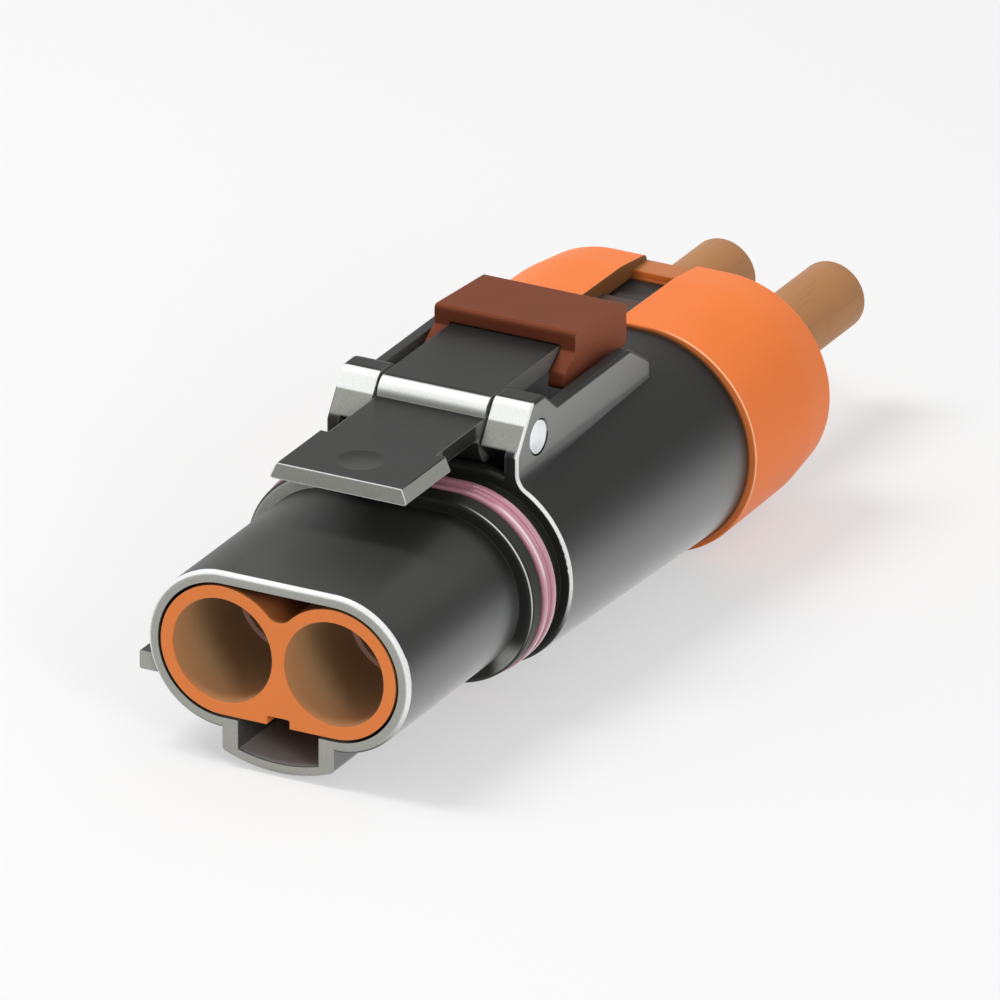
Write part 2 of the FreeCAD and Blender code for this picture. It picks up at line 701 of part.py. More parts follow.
def cable_seal():
    """Rubber block round both cables, with three ribs against the body."""
    start = SEAL_CELL_Y
    end = CABLE_SEAL_END_Y
    core = SEAL_CELL_R - SEAL_CORE_GAP
    rib = CABLE_SEAL_LENGTH / (2 * CABLE_SEAL_RIBS)
    corners = [(start, 0), (start, core)]
    for i in range(CABLE_SEAL_RIBS):
        foot = start + rib * (0.5 + 2 * i)
        corners += [
            (foot, core),
            (foot + rib / 2, SEAL_CELL_R, RIB_CREST),
            (foot + rib, core),
        ]
    corners += [(end, core), (end, 0)]
    seal = round_slot(corners)
    for side in SIDES.values():
        seal = seal.cut(round_bar(CABLE_R, start - OVERLAP, end + OVERLAP, side * HALF_PITCH))
    return seal


def rear_cap():
    """Orange cap: skirt over the spigot, pusher that holds the cable seal, notch and snap windows."""
    half = HALF_PITCH + CAP_WIDER
    cap = round_slot([
        (SHOULDER_Y, 0),
        (SHOULDER_Y, CAP_R, EDGE),
        (CAP_END_Y - CAP_TAPER, CAP_R - CAP_SWELL, CAP_SWELL_ROUND),
        (CAP_END_Y, CAP_R - CAP_DRAFT, CAP_END_ROUND),
        (CAP_END_Y, 0),
    ], half)
    wall_y = CAP_END_Y - CAP_END_WALL
    cap = cap.cut(slot_block(CAP_IN_R, SHOULDER_Y - OVERLAP, wall_y))
    pusher_r = SEAL_CELL_R - PLAY * 2
    pusher = slot_block(pusher_r, CABLE_SEAL_END_Y, wall_y + EDGE)
    pusher = pusher.cut(slot_block(pusher_r - PUSHER_WALL, CABLE_SEAL_END_Y - OVERLAP, wall_y))
    for side in SIDES.values():
        collar = round_bar(CABLE_R + PUSHER_WALL, CABLE_SEAL_END_Y, wall_y + EDGE, side * HALF_PITCH)
        pusher = pusher.fuse(collar)
    cap = cap.fuse(pusher)
    for side in SIDES.values():
        cap = cap.cut(round_bar(CABLE_R + PLAY, SHOULDER_Y, CAP_END_Y + OVERLAP, side * HALF_PITCH))
    notch = block(
        (-NOTCH_HALF, SHOULDER_Y - OVERLAP, CAP_R - NOTCH_DEPTH),
        (NOTCH_HALF, CAP_END_Y + OVERLAP, CAP_R + OVERLAP),
    )
    window = block(
        (-NOTCH_HALF, SNAP_Y, CAP_IN_R - PLAY),
        (NOTCH_HALF, SNAP_Y + SNAP_WINDOW, CAP_R + OVERLAP),
    )
    lower_window = window.mirror(V(0, 0, 0), V(0, 0, 1))
    return cap.cut([notch, window, lower_window]).removeSplitter()


# Latch
def latch_lever():
    """Rocking lever: front paddle with its hook, hub on the pin, rear arm that the position lock rides."""
    under_z = PADDLE_Z - FRONT_ARM_THICK
    paddle_end = PADDLE_Y + PADDLE_LENGTH
    arm = side_profile([
        (paddle_end - OVERLAP, under_z),
        (paddle_end - OVERLAP, PADDLE_Z),
        (PIVOT_Y, PADDLE_Z),
        (PIVOT_Y, under_z),
    ], -ARM_HALF, ARM_HALF)
    low_half = PADDLE_HALF + PADDLE_FLARE
    paddle = end_profile([
        (-low_half, under_z, EDGE), (low_half, under_z, EDGE),
        (PADDLE_HALF, PADDLE_Z, EDGE), (-PADDLE_HALF, PADDLE_Z, EDGE),
    ], PADDLE_Y, paddle_end)
    paddle = paddle.cut(side_profile([
        (PADDLE_Y, under_z - OVERLAP),
        (PADDLE_Y + PADDLE_BEVEL, PADDLE_Z + OVERLAP),
        (PADDLE_Y - OVERLAP, PADDLE_Z + OVERLAP),
        (PADDLE_Y - OVERLAP, under_z - OVERLAP),
    ], -low_half - OVERLAP, low_half + OVERLAP))
    hook = side_profile([
        (PADDLE_Y + HOOK_FROM, under_z + EDGE),
        (PADDLE_Y + HOOK_FROM, under_z),
        (PADDLE_Y + HOOK_TIP_FROM, under_z - HOOK_DEPTH, EDGE),
        (PADDLE_Y + HOOK_TIP_TO, under_z - HOOK_DEPTH, EDGE),
        (PADDLE_Y + HOOK_TIP_TO, under_z + EDGE),
    ], -HOOK_HALF, HOOK_HALF)
    hub = cross_bar(HUB_R, ARM_HALF).cut(block(
        (-ARM_HALF - OVERLAP, PIVOT_Y - HUB_R - OVERLAP, PADDLE_Z),
        (ARM_HALF + OVERLAP, PIVOT_Y, HUB_TOP_Z + OVERLAP),
    ))
    nose = side_profile([
        (PIVOT_Y - NOSE_REACH, PADDLE_Z - OVERLAP),
        (PIVOT_Y - NOSE_REACH, HUB_TOP_Z, NOSE_ROUND),
        (PIVOT_Y + OVERLAP, HUB_TOP_Z),
        (PIVOT_Y + OVERLAP, PADDLE_Z - OVERLAP),
    ], -ARM_HALF, ARM_HALF)
    rear = side_profile([
        (PIVOT_Y, REAR_ARM_Z),
        (PIVOT_Y, HUB_TOP_Z),
        (REAR_ARM_Y, HUB_TOP_Z, CORNER),
        (REAR_ARM_Y, REAR_ARM_Z, CORNER),
    ], -ARM_HALF, ARM_HALF)
    seat = Part.makeCylinder(SEAT_BOSS_R, SEAT_BOSS + EDGE, V(0, SPRING_Y, REAR_ARM_Z - SEAT_BOSS))
    below_hub = block(
        (-ARM_HALF - OVERLAP, PIVOT_Y - HUB_R - OVERLAP, PIVOT_Z - HUB_R - OVERLAP),
        (ARM_HALF + OVERLAP, PIVOT_Y + HUB_R + OVERLAP, PIVOT_Z - HUB_FLAT),
    )
    dish_z = PADDLE_Z + DISH_R - DISH_DEPTH
    dish = Part.makeSphere(DISH_R, V(0, PADDLE_Y + PADDLE_LENGTH / 2, dish_z))
    lever = hub.fuse([nose, arm, paddle, hook, rear, seat])
    pin_hole = cross_bar(PIVOT_PIN_R + PIN_RUN, ARM_HALF + OVERLAP)
    return lever.cut(below_hub).cut([pin_hole, dish]).removeSplitter()


def latch_pin():
    half = EAR_HALF - PLAY
    pin = cross_bar(PIVOT_PIN_R, half)
    return pin.makeChamfer(EDGE, [e for e in pin.Edges if abs(abs(e.CenterOfMass.x) - half) < 0.01])


def latch_spring():
    """Compression spring between the latch well's floor and the lever's rear arm."""
    height = REAR_ARM_Z - WELL_FLOOR_Z - 2 * SPRING_WIRE_R - PLAY
    helix = Part.makeHelix(height / SPRING_TURNS, height, SPRING_R)
    section = Part.Wire(Part.Circle(V(SPRING_R, 0, 0), V(0, 1, 0), SPRING_WIRE_R).toShape())
    coil = Part.Wire(helix).makePipeShell([section], True, True)
    return coil.translated(V(0, SPRING_Y, WELL_FLOOR_Z + SPRING_WIRE_R + FIT))


def position_lock():
    """Red slider: saddle over the rear arm with lips below it, a sloped thumb face and a rear wall."""
    inner = ARM_HALF + LOCK_GAP
    outer = inner + LOCK_LEG
    under = HUB_TOP_Z + PLAY * 2
    top_z = under + LOCK_TOP
    low_z = HUB_TOP_Z - LOCK_DROP
    brow_z = under - LOCK_BROW
    tip_y = LOCK_FRONT_Y - LOCK_REACH
    hull = side_profile([
        (LOCK_END_Y, low_z, CORNER),
        (LOCK_END_Y, top_z, CORNER),
        (LOCK_FRONT_Y, top_z + LOCK_CREST, LOCK_BROW),
        (LOCK_FRONT_Y, brow_z, EDGE),
        (tip_y + LOCK_BROW, under - LOCK_SLOPE, CORNER),
        (tip_y, low_z, CORNER),
    ], -outer, outer)
    before = tip_y - OVERLAP
    below = low_z - OVERLAP
    rear_wall = LOCK_END_Y - LOCK_WALL
    lip_top = REAR_ARM_Z - LOCK_GAP
    lip_low = lip_top - LOCK_LIP
    lip_inner = inner - LOCK_LIP_REACH
    return hull.cut([
        block((-inner, before, lip_top), (inner, rear_wall, under)),
        block((-inner, before, below), (inner, LOCK_FRONT_Y, under)),
        block((-lip_inner, before, below), (lip_inner, rear_wall, under)),
        block((-inner, before, below), (inner, LOCK_END_Y + OVERLAP, lip_low)),
    ]).removeSplitter()


def build():
    nodes = {
        "front_shell": front_shell(),
        "interface_seal": interface_seal(),
        "inner_housing": inner_housing(),
        "contact_retainer": contact_retainer(),
        "shield_can": shield_can(),
        "body_housing": body_housing(),
        "cable_seal": cable_seal(),
        "rear_cap": rear_cap(),
        "latch_lever": latch_lever(),
        "latch_pin": latch_pin(),
        "latch_spring": latch_spring(),
        "position_lock": position_lock(),
    }
    paired = (contact, over_spring, jacket, braid, inner_ferrule, outer_ferrule, insulation, conductor)
    for make in paired:
        for side, sign in SIDES.items():
            nodes[make.__name__ + "_" + side] = make(sign * HALF_PITCH)
    return nodes


os.makedirs("parts", exist_ok=True)
for name, shape in build().items():
    print(name, "valid" if shape.isValid() else "NOT VALID", len(shape.Solids), round(shape.Volume, 1))
    shape.exportStep("parts/" + name + ".step")
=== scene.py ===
# %% [markdown]
# A two-pole high-voltage power plug, rendered from the model that the CAD step packed. The rigid mouldings
# already have their true shape there, so this lesson is mostly about finishes. What the CAD step kept plain
# is modelled here: the cable sheaths, the insulation under them, the stranded conductors, the latch's coil
# spring and the ring seal. Places on the plug are in millimetres in the CAD frame: +X is right seen from the
# mating side, +Y runs back to the cables and +Z is up. Blender itself works in metres.

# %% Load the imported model
import json
import math

import bmesh
import bpy
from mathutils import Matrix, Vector


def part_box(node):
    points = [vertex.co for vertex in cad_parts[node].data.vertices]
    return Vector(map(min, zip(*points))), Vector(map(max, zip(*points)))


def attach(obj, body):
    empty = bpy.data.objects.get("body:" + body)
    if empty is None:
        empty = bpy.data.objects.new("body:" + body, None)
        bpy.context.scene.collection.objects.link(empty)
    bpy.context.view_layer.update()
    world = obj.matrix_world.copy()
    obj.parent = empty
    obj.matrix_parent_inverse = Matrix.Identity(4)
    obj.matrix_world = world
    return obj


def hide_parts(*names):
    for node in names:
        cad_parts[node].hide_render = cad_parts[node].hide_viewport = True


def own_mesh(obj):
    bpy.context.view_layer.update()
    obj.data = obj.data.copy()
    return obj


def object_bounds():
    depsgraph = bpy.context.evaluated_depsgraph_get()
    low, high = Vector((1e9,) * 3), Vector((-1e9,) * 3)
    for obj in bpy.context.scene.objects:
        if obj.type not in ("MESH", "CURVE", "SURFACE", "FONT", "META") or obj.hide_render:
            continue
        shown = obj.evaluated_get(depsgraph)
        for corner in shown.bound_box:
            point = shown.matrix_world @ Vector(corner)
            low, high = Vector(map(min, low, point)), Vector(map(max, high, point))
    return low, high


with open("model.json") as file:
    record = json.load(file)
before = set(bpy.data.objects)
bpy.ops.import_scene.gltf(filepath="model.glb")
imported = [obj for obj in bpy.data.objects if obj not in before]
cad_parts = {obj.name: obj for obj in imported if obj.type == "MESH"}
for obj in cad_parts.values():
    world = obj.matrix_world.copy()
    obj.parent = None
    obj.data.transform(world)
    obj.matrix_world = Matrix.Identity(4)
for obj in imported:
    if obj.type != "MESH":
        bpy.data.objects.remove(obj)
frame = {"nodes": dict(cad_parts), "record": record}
nodes = frame["nodes"]
cad_box = [list(corner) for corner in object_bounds()]
MM = 0.001
SIDES = {"left": -1, "right": 1}


def box_in_mm(node):
    """The low and the high corner of a CAD node, in millimetres."""
    return [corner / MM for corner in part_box(node)]


print(len(nodes), "nodes, box in mm", [[round(v / MM, 1) for v in corner] for corner in cad_box])

# %% [markdown]
# The picture looks at the mating face from the front right and from above, and its edges stay parallel, as
# in a shot with a very long lens. An orthographic camera would do too, but a long lens far away keeps the
# slight narrowing that a real shot has. It aims at the middle of the picture.

# %% Camera
VIEW_TURN = math.radians(28.0)
VIEW_RISE = math.radians(23.8)
AIM = Vector((0.0, 59.7, -0.8)) * MM
FRAME_WIDTH = 128.1 * MM
LENS_MM = 900.0
SENSOR_MM = 36.0
FARTHEST_SEEN = 50.0

towards_camera = Vector((
    math.sin(VIEW_TURN) * math.cos(VIEW_RISE),
    -math.cos(VIEW_TURN) * math.cos(VIEW_RISE),
    math.sin(VIEW_RISE),
))


def aim(thing, direction, distance):
    """Adds a camera or a lamp in a direction from the middle of the picture, turned to face it."""
    bpy.context.scene.collection.objects.link(thing)
    thing.location = AIM + direction * distance
    thing.rotation_mode = "QUATERNION"
    thing.rotation_quaternion = direction.to_track_quat("Z", "Y")


camera_data = bpy.data.cameras.new("camera")
camera_data.lens = LENS_MM
camera_data.sensor_width = SENSOR_MM
camera_data.clip_end = FARTHEST_SEEN
camera = bpy.data.objects.new("camera", camera_data)
aim(camera, towards_camera, FRAME_WIDTH * LENS_MM / SENSOR_MM)
bpy.context.scene.camera = camera
bpy.context.scene.view_settings.view_transform = "Standard"
print("camera", [round(v, 2) for v in camera.location])

# %% [markdown]
# Shader maths reads best as plain arithmetic. The small class below wraps a socket, and Python's operators
# on it add Math nodes. Its method make adds any other node: settings first, then the values or links of
# the sockets. A mask is a value that is 1 where something is and 0 elsewhere, and the methods step, below
# and band make most masks.


# %% A socket that can be calculated with
class Flow:
    def __init__(self, tree, socket=None):
        self.tree = tree
        self.socket = socket

    def make(self, kind, settings=None, inputs=None, take=0):
        node = self.tree.nodes.new("ShaderNode" + kind)
        for name, value in (settings or {}).items():
            setattr(node, name, value)
        for name, value in (inputs or {}).items():
            if isinstance(value, Flow):
                self.tree.links.new(value.socket, node.inputs[name])
            else:
                node.inputs[name].default_value = value
        return Flow(self.tree, node.outputs[take])

    def also(self, take):
        """Another output of the node that this value comes from."""
        return Flow(self.tree, self.socket.node.outputs[take])

    def xyz(self):
        x = self.make("SeparateXYZ", None, {0: self})
        return x, x.also(1), x.also(2)

    def calc(self, operation, first, second=0.0):
        return self.make("Math", {"operation": operation}, {0: first, 1: second})

    def __add__(self, other):
        return self.calc("ADD", self, other)

    def __sub__(self, other):
        return self.calc("SUBTRACT", self, other)

    def __rsub__(self, other):
        return self.calc("SUBTRACT", other, self)

    def __mul__(self, other):
        return self.calc("MULTIPLY", self, other)

    def __pow__(self, other):
        return self.calc("POWER", self, other)

    def __neg__(self):
        return 0 - self

    def __abs__(self):
        return self.calc("ABSOLUTE", self)

    __radd__ = __add__
    __rmul__ = __mul__

    def at_least(self, low):
        return self.calc("MAXIMUM", self, low)

    def step(self, low, high):
        """0 below low and 1 above high, with a smooth rise between them."""
        settings = {"interpolation_type": "SMOOTHSTEP"}
        return self.make("MapRange", settings, {"Value": self, "From Min": low, "From Max": high})

    def below(self, low, high):
        """1 below low and 0 above high, with a smooth fall between them."""
        return 1 - self.step(low, high)

    def band(self, low, high, soft):
        """1 between low and high and 0 outside, with soft edges."""
        return self.step(low - soft, low + soft) * self.below(high - soft, high + soft)


# %% [markdown]
# A finish is built up like paint, one colour over another, each through its own mask. Mix nodes hold one set
# of sockets per kind of data under the same names, so the colour ones go by number.


# %% Mixing colours
def mixed(mask, under, over):
    """A colour that goes from under to over as the mask goes from 0 to 1."""
    return mask.make("Mix", {"data_type": "RGBA"}, {0: mask, 6: under, 7: over}, take=2)


def layered(colour, *layers):
    """A colour with others laid over it, each given as a mask and a colour."""
    for mask, over in layers:
        colour = mixed(mask, colour, over)
    return colour


def rgba(red, green, blue):
    return (red, green, blue, 1.0)


# %% [markdown]
# Every finish starts the same way: a Principled shader, and the place on the piece in millimetres. The place
# comes from Object coordinates, so a pattern stays on the piece when the latch moves. The parts of the
# normal tell which way the surface faces there.


# %% Start of a finish
def start_finish(name):
    finish = bpy.data.materials.new(name)
    finish.use_nodes = True
    tree = finish.node_tree
    shader = tree.nodes["Principled BSDF"]
    start = Flow(tree)
    coordinates = start.make("TexCoord", take=3)
    place = start.make("VectorMath", {"operation": "SCALE"}, {0: coordinates, "Scale": 1 / MM})
    print("finish", name)
    return finish, shader, place


def facing(place):
    """How far the surface faces right, forward and up, each from -1 to 1."""
    right, back, up = place.make("NewGeometry", take=1).xyz()
    return right, -back, up


def lumps(place, size, detail=2.0):
    """Cloudy noise from 0 to 1 whose lumps are about size millimetres across."""
    return place.make("TexNoise", None, {"Vector": place, "Scale": 1 / size, "Detail": detail})


# %% [markdown]
# Moulded corners are never knife-sharp, and handling wears them first. A Bevel node gives a normal that is
# softened near corners. How far it turns away from the true one marks the corners, and the Ambient Occlusion
# node keeps only those that stand out in the open, where things rub. The finishes paint those corners paler,
# as wear and as a painted highlight, and paint shade where the Ambient Occlusion finds little open air.

# %% Corners and bumps
CORNER_RADIUS = 0.3
OPEN_AIR_REACH = 2.5
SAMPLES_A_POINT = 6


def corners(place):
    """The softened normal, a mask of the outside corners for wear and painted highlight, and how open each
    place lies.
    """
    soft = place.make("Bevel", {"samples": SAMPLES_A_POINT}, {"Radius": CORNER_RADIUS * MM})
    true = place.make("NewGeometry", take=1)
    same = place.make("VectorMath", {"operation": "DOT_PRODUCT"}, {0: soft, 1: true}, take=1)
    reach = {"Distance": OPEN_AIR_REACH * MM}
    open_air = place.make("AmbientOcclusion", {"samples": SAMPLES_A_POINT}, reach, take=1)
    return soft, (1 - same).step(0.01, 0.16) * open_air.step(0.55, 0.85), open_air


def feed(shader, name, value):
    value.tree.links.new(value.socket, shader.inputs[name])


def feed_bump(shader, height, depth, strength=0.2, soft=None):
    """Lets a height between 0 and 1, worth depth millimetres, bend the normal."""
    inputs = {"Strength": strength, "Distance": depth * MM, "Height": height}
    if soft is not None:
        inputs["Normal"] = soft
    feed(shader, "Normal", height.make("Bump", None, inputs))


# %% [markdown]
# The mouldings are glass-filled nylon: near black, with a fine spark-eroded grain, slightly cloudy, and worn
# paler along the corners. Light and shade are painted into their colour too: painted highlights along the
# rounded edges and on the worn corners, paler faces where the light falls, a painted reflection on the
# flanks, and painted light on the shaded top of the shell and on the floor of the key channel. A painted map
# could hold these places, but they can also be told by where they lie and which way they face, and then they
# stay sharp at any size. The values below are the places on the plug that those masks go by.

# %% Places on the dark mouldings
FLANGE_Y = 29.5
BODY_Y = 38.4
PIVOT_Y = sum(corner.y for corner in box_in_mm("latch_pin")) / 2
RAIL_WEAR_AND_GLINT_TO_Y = 44.0
HUB_TOP_Z = box_in_mm("latch_lever")[1].z
LATCH_Z = 16.2
SEAL_GAP_TOP_Z = 13.5
CHANNEL_Z = -9.0
EAR_X = 13.8
DISH_Y = 22.0
DISH_RADIUS = 3.6
# The near white of the painted highlights.
HIGHLIGHT_WHITE = rgba(0.93, 0.95, 0.93)
print("latch pivot at y", round(PIVOT_Y, 1), "and its hub's top at z", round(HUB_TOP_Z, 1))


# %% Painted light on faces of the dark mouldings
def painted_light_faces(place, open_air):
    """Faces painted paler as painted light: the mating rim, the latch, the ears and two patches of the
    flange.
    """
    x, y, z = place.xyz()
    right, forward, up = facing(place)
    aside = abs(right)
    on_latch = z.step(LATCH_Z, LATCH_Z + 0.8)
    mating_rim = forward.step(0.75, 0.95) * y.below(1.5, 3.0) * open_air.step(0.35, 0.7)
    paddle_front = forward.step(0.6, 0.8) * on_latch * y.below(30.0, 31.0)
    paddle_side = aside.step(0.7, 0.85) * on_latch * y.below(28.0, 28.4)
    from_dish = (x * x + (y - DISH_Y) * (y - DISH_Y)) ** 0.5
    dish = from_dish.below(0.5, DISH_RADIUS) * up.step(0.8, 0.9) * on_latch
    knuckle_front = forward.step(0.6, 0.75) * z.step(LATCH_Z + 0.1, LATCH_Z + 0.7) * y.step(36.0, 37.0)
    ear_side = aside.step(0.97, 0.995) * z.step(13.4, 14.4) * y.step(BODY_Y, BODY_Y + 1.0)
    flange = forward.step(0.8, 0.95) * y.band(FLANGE_Y - 0.5, FLANGE_Y + 1.0, 0.2)
    flange_left = x.below(-9.0, -5.0) * z.step(-3.0, 6.0)
    flange_right = x.step(14.0, 17.0) * z.below(-8.0, -4.0)
    painted_pale = mating_rim + flange * (flange_left + flange_right) + knuckle_front * 0.72 + ear_side * 0.38
    return (painted_pale + (paddle_front + paddle_side) * 0.65 + dish * 0.14).step(0.0, 1.0)


# %% Painted highlights on the dark mouldings
def painted_highlights(place):
    """Painted highlights along rounded edges on the hub, the rim, the flange, the body and the right ear."""
    x, y, z = place.xyz()
    right, forward, _ = facing(place)
    aside = abs(right)
    hub = z.band(HUB_TOP_Z - 2.3, HUB_TOP_Z + 0.3, 0.2) * forward.band(0.3, 0.93, 0.1)
    hub = hub * y.band(39.0, 46.0, 0.5)
    rim = forward.band(0.15, 0.92, 0.1) * y.below(0.7, 0.9) * z.step(-13.0, 0.0)
    far_left = x.below(-15.0, -9.0)
    flange = forward.band(0.3, 0.75, 0.1) * y.band(FLANGE_Y - 0.1, FLANGE_Y + 0.3, 0.05)
    flange = flange * (x.step(9.0, 15.0) + far_left * z.below(-8.0, -3.0))
    body = forward.step(0.07, 0.23) * y.band(BODY_Y + 0.035, BODY_Y + 0.5, 0.02)
    body = body * (x.step(EAR_X - 0.8, EAR_X) + far_left * z.below(5.0, 11.0))
    ear = aside.band(0.12, 0.97, 0.06) * (aside * x).step(EAR_X - 9.0, EAR_X - 8.0)
    ear = ear * forward.step(0.05, 0.2) * x.step(EAR_X - 0.6, EAR_X - 0.4)
    ear = ear * z.step(12.0, 13.0) * y.below(PIVOT_Y - 2.0, PIVOT_Y)
    return (hub + rim + ear + (flange * 0.7 + body) * z.step(-9.0, 2.0)).step(0.0, 1.0)


# %% Dark glass-filled plastic
def dark_plastic():
    finish, shader, place = start_finish("dark_plastic")
    _, y, z = place.xyz()
    _, forward, up = facing(place)
    soft, wear_and_glint, open_air = corners(place)
    cloud = lumps(place, 9.0)
    grain = lumps(place, 0.28, 3.0)
    painted_pale = mixed(grain, rgba(0.27, 0.275, 0.245), rgba(0.44, 0.445, 0.405))
    highlight_mask = painted_highlights(place)
    # Painted reflection: faces that look sideways or down are painted paler grey, and the same mask sets the
    # coat.
    reflection_flank = up.below(-0.15, 0.62) * forward.below(0.1, 0.5) * (1 - y.band(FLANGE_Y, BODY_Y, 0.2))
    # Painted light: the shell's top, shaded by the paddle, is painted a lighter grey.
    lit_shell_top = up.step(0.3, 0.8) * y.below(26.0, 29.0) * z.below(14.5, 15.0)
    # Painted light: the shaded floor of the key channel is painted pale grey.
    lit_channel_floor = up.step(0.6, 0.8) * z.below(CHANNEL_Z - 0.2, CHANNEL_Z + 0.1) * y.band(0.3, 29.3, 0.2)
    shut_in = y.band(FLANGE_Y - 1.0, BODY_Y + 0.5, 0.1) * z.below(SEAL_GAP_TOP_Z, SEAL_GAP_TOP_Z + 0.5)
    # Corners painted paler, as wear and as a painted highlight, but not where they lie shut in by flange and
    # body.
    edge_wear_and_highlight = wear_and_glint * (1 - shut_in) * (0.3 + grain * 0.3) * y.below(RAIL_WEAR_AND_GLINT_TO_Y, RAIL_WEAR_AND_GLINT_TO_Y + 3.0)
    # Painted highlight: a white line along the paddle's front edge.
    paddle_edge_highlight = wear_and_glint.step(0.0, 0.15) * z.step(LATCH_Z, LATCH_Z + 0.8) * y.below(17.0, 19.0)
    colour = layered(
        mixed(cloud, rgba(0.012, 0.012, 0.0115), rgba(0.019, 0.019, 0.0175)),
        (reflection_flank, rgba(0.072, 0.077, 0.074)),
        (lit_shell_top * 0.6, rgba(0.05, 0.05, 0.048)),
        (lit_channel_floor, rgba(0.26, 0.255, 0.25)),
        (painted_light_faces(place, open_air), painted_pale),
        (edge_wear_and_highlight, rgba(0.42, 0.44, 0.42)),
        (paddle_edge_highlight, HIGHLIGHT_WHITE),
        (highlight_mask * (0.75 + grain * 0.25), HIGHLIGHT_WHITE),
    )
    feed(shader, "Base Color", colour)
    feed(shader, "Roughness", 0.36 + cloud * 0.08 + grain * 0.06 - highlight_mask * 0.12)
    feed(shader, "Coat Weight", (reflection_flank + highlight_mask * 0.6).step(0.0, 1.0))
    feed_bump(shader, grain, 0.02, soft=soft)
    shader.inputs["Coat Roughness"].default_value = 0.32
    shader.inputs["Specular IOR Level"].default_value = 0.2
    return finish


# %% [markdown]
# The orange parts are a warning colour: smooth nylon dyed right through. One dye means one finish for the
# inner housing and the cap, and each has tones of its own and painted light and shade laid over it by place.
# The cap has painted shade on its front step, a painted highlight on its front edge, and painted shade on
# the notch's wall and floor with a painted shadow over its window.

# %% Painted light and shade on the cap
CELL_OFFSET = 8.0
CAP_FRONT_Y = box_in_mm("rear_cap")[0].y
SPIGOT_RADIUS = 15.2
NOTCH_HALF = 3.95
NOTCH_TOP_Z = 14.0
WINDOW_BOTTOM_Z = 12.0
WINDOW_END_Y = 95.6
print("cap front at y", round(CAP_FRONT_Y, 1))


def cap_light_and_shade(place):
    """Masks and colours of the painted highlight and shade on the cap's front edge, step and notch."""
    x, y, z = place.xyz()
    right, forward, up = facing(place)
    outward = (abs(x) - CELL_OFFSET).at_least(0.0)
    from_slot = (outward * outward + z * z) ** 0.5
    # Painted highlight along the cap's front edge.
    edge_highlight = forward.band(0.25, 0.8, 0.1) * y.band(CAP_FRONT_Y - 0.2, CAP_FRONT_Y + 0.7, 0.1)
    edge_highlight = edge_highlight * right.step(0.0, 0.3) * up.step(-0.6, -0.2)
    # Painted shade on the front step, darkest next to the body.
    step = forward.step(0.8, 0.95) * y.band(CAP_FRONT_Y - 0.3, CAP_FRONT_Y + 0.1, 0.2)
    inner_step_shade = step * from_slot.below(SPIGOT_RADIUS - 0.15, SPIGOT_RADIUS + 0.15)
    on_cap = y.step(CAP_FRONT_Y - 1.3, CAP_FRONT_Y - 0.3)
    in_notch = x.band(-NOTCH_HALF, NOTCH_HALF, 0.05)
    # Painted shade on the notch's wall and floor, and a painted shadow over its window and the bar in front.
    notch_wall_shade = right.step(0.8, 0.95) * z.step(WINDOW_BOTTOM_Z - 0.2, WINDOW_BOTTOM_Z + 0.1) * x.below(-3.0, 0.0)
    notch_floor_shade = up.step(0.8, 0.95) * in_notch * z.below(NOTCH_TOP_Z - 0.1, NOTCH_TOP_Z + 0.1)
    notch_shadow = up.step(0.05, 0.15) * in_notch * y.band(CAP_FRONT_Y - 0.8, WINDOW_END_Y, 0.5)
    notch_shadow = notch_shadow * z.band(WINDOW_BOTTOM_Z, NOTCH_TOP_Z, 0.1)
    return (
        (edge_highlight * 0.7, rgba(1.0, 0.66, 0.42)),
        (step * 0.5, rgba(0.4, 0.14, 0.05)),
        (inner_step_shade, rgba(0.1, 0.045, 0.02)),
        (notch_wall_shade * on_cap * 0.9, rgba(0.14, 0.075, 0.025)),
        (notch_floor_shade * on_cap * 0.7, rgba(0.36, 0.16, 0.06)),
        (notch_shadow * 0.95, rgba(0.045, 0.032, 0.022)),
    )


# %% [markdown]
# The inner housing has painted shade in the valley between its two tubes and inside the cells, which are
# painted browner, and more olive deeper in. The floor at the cells' ends is painted pinkish, as a painted
# reflection of the plated contact that it surrounds.

# %% Painted shade and reflection in the cells
CELL_RADIUS = 7.15


def cell_shade_and_reflection(place, cloud):
    """Masks and colours of painted shade in the valley and the cells, and a painted reflection on their
    floors.
    """
    x, y, z = place.xyz()
    _, forward, _ = facing(place)
    off_axis = abs(x) - CELL_OFFSET
    from_axis = (off_axis * off_axis + z * z) ** 0.5
    in_cell = from_axis.below(CELL_RADIUS + 0.02, CELL_RADIUS + 0.12)
    in_cell = in_cell * y.step(0.1, 0.5) * y.below(60.0, 61.0)
    # Painted shade in the valley and in the cells.
    valley_shade = abs(x).below(5.0, 6.5) * z.step(3.0, 4.5) * y.band(0.3, 40.0, 0.15)
    cell_shade_brown = mixed(y.step(0.0, 12.0), rgba(0.52, 0.28, 0.13), rgba(0.42, 0.33, 0.19))
    return (
        (valley_shade * 0.65, rgba(0.14, 0.065, 0.03)),
        (in_cell * (0.85 + cloud * 0.15), cell_shade_brown),
        # Painted reflection: the cells' floors are painted pinkish, like the plated contact.
        (in_cell * forward.step(0.8, 0.95), rgba(0.95, 0.62, 0.56)),
    )


